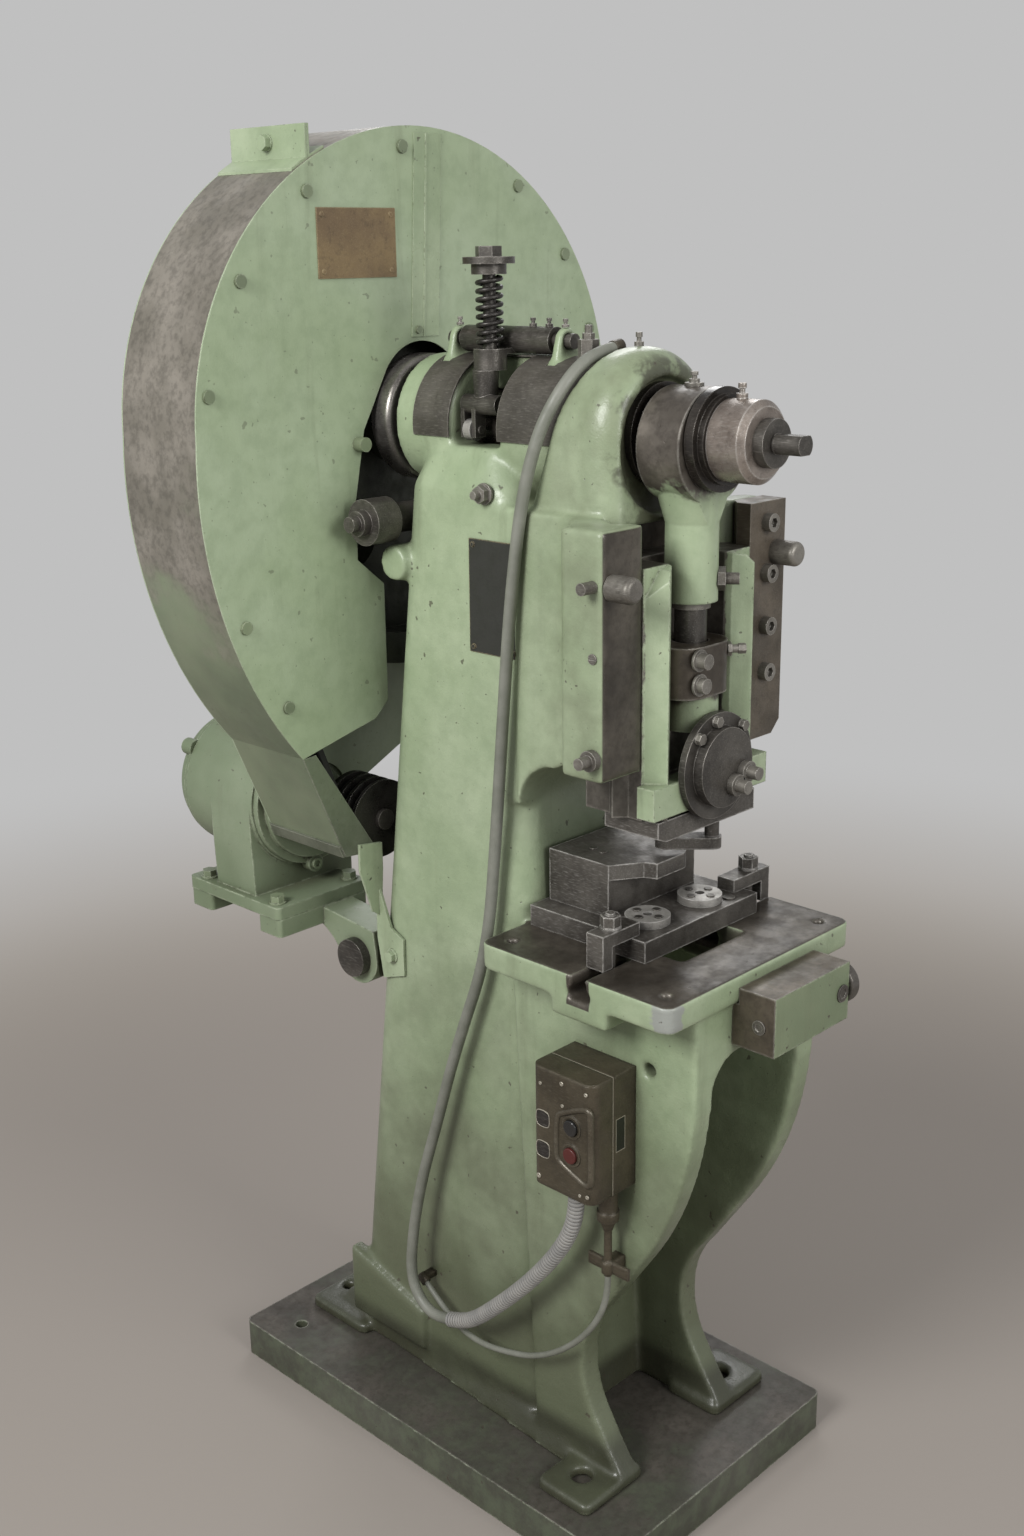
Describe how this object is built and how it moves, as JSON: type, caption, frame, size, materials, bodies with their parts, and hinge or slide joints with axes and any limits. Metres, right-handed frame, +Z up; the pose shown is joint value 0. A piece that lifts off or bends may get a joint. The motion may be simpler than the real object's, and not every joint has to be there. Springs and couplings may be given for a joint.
{
  "type": "mechanical stamping press",
  "caption": "Open-front eccentric stamping press with a ram in V-ways, a flywheel under a round belt guard, a motor behind the column and a table with a die set.",
  "frame": {"origin": "middle of the base plate's underside", "axes": "+X to the operator's right, +Y to the back of the press, +Z up"},
  "size_m": [0.7196, 0.975, 1.75],
  "materials": {
    "green_paint": "satin",
    "pale_green_sheet": "satin",
    "brown_paint": "satin",
    "bare_cast": "satin",
    "machined_steel": "satin",
    "dark_steel": "satin",
    "bearing_bronze": "satin",
    "belt_rubber": "matt",
    "grey_sheath": "matt",
    "black_button": "satin",
    "red_button": "satin",
    "plate_metal": "satin",
    "box_shell": "satin"
  },
  "bodies": {
    "frame": {"base_plate": "green_paint", "frame_casting": "green_paint", "right_gib_plate": "brown_paint", "way_fasteners": "dark_steel", "oil_fittings": "machined_steel", "saddle_cover": "brown_paint", "shaft_bushes": "bearing_bronze", "die_base": "dark_steel", "die_block": "machined_steel", "guide_flanges": "machined_steel", "table_screws": "dark_steel", "die_clamps": "dark_steel", "clamp_bolts": "dark_steel", "front_block": "green_paint", "v_belts": "belt_rubber", "motor_housing": "green_paint", "motor_front_shield": "green_paint", "motor_rear_cap": "green_paint", "motor_bolts": "dark_steel", "motor_bracket": "green_paint", "bracket_pin": "dark_steel", "stay_shaft": "dark_steel", "guard_face_plate": "pale_green_sheet", "guard_band": "green_paint", "guard_back_plate": "green_paint", "guard_trim": "dark_steel", "guard_screws": "dark_steel", "name_plates": "plate_metal", "guard_strap": "green_paint", "control_box_cover": "box_shell", "control_box_back": "box_shell", "box_fittings": "dark_steel", "ribbed_conduit": "grey_sheath", "main_cable": "grey_sheath", "thin_cable": "grey_sheath"},
    "ram": {"slide": "green_paint", "socket_cap": "green_paint", "ball_spindle": "machined_steel", "connecting_rod": "green_paint", "big_end_bush": "bearing_bronze", "rod_fittings": "machined_steel", "slide_screws": "dark_steel", "clamp_cover": "green_paint", "upper_tool": "dark_steel"},
    "crank": {"crankshaft": "machined_steel", "shaft_collars": "dark_steel", "clutch_sleeve": "machined_steel", "front_hub": "brown_paint"},
    "wheel": {"flywheel": "bare_cast", "hub_ring": "machined_steel"},
    "rotor": {"motor_pulley": "bare_cast", "motor_shaft": "machined_steel"},
    "lever": {"trip_lever": "dark_steel", "trip_pins": "dark_steel", "trip_roller": "machined_steel", "clutch_spring": "machined_steel"},
    "plunger": {"spring_bolt": "dark_steel"},
    "start": {"start_button": "black_button"},
    "stop": {"stop_button": "red_button"},
    "knob": {"block_knob": "dark_steel"}
  },
  "joints": [
    {"name": "ram_stroke", "type": "slide", "parent": "frame", "child": "ram", "axis": [0, 0, 1], "range_m": [0, 0.016]},
    {"name": "crank_turn", "type": "hinge", "parent": "frame", "child": "crank", "pos_m": [0, 0, 1.397], "axis": [0, 1, 0], "range_deg": [0, 180]},
    {"name": "flywheel_spin", "type": "hinge", "parent": "frame", "child": "wheel", "pos_m": [0, 0.225, 1.397], "axis": [0, 1, 0], "continuous": true},
    {"name": "motor_spin", "type": "hinge", "parent": "frame", "child": "rotor", "pos_m": [-0.085, 0.2, 0.866], "axis": [0, 1, 0], "continuous": true},
    {"name": "trip_lever_swing", "type": "hinge", "parent": "frame", "child": "lever", "pos_m": [-0.012, 0, 1.498], "axis": [0, 1, 0], "range_deg": [0, 5]},
    {"name": "spring_bolt_press", "type": "slide", "parent": "lever", "child": "plunger", "axis": [0, 0, -1], "range_m": [0, 0.008], "stiffness_N_per_m": 3000, "springref_m": -0.006, "deforming": ["clutch_spring"]},
    {"name": "start_button_press", "type": "slide", "parent": "frame", "child": "start", "axis": [1, 0, 0], "range_m": [0, 0.003], "stiffness_N_per_m": 1500, "springref_m": -0.001},
    {"name": "stop_button_press", "type": "slide", "parent": "frame", "child": "stop", "axis": [1, 0, 0], "range_m": [0, 0.003], "stiffness_N_per_m": 1500, "springref_m": -0.001},
    {"name": "block_knob_turn", "type": "hinge", "parent": "frame", "child": "knob", "pos_m": [0.1, -0.44, 0.744], "axis": [1, 0, 0], "continuous": true}
  ],
  "couplings": [
    {"joint": "crank_turn", "follows": "ram_stroke", "rad_per_m": 196.35},
    {"joint": "motor_spin", "follows": "flywheel_spin", "ratio": 6.5476}
  ]
}
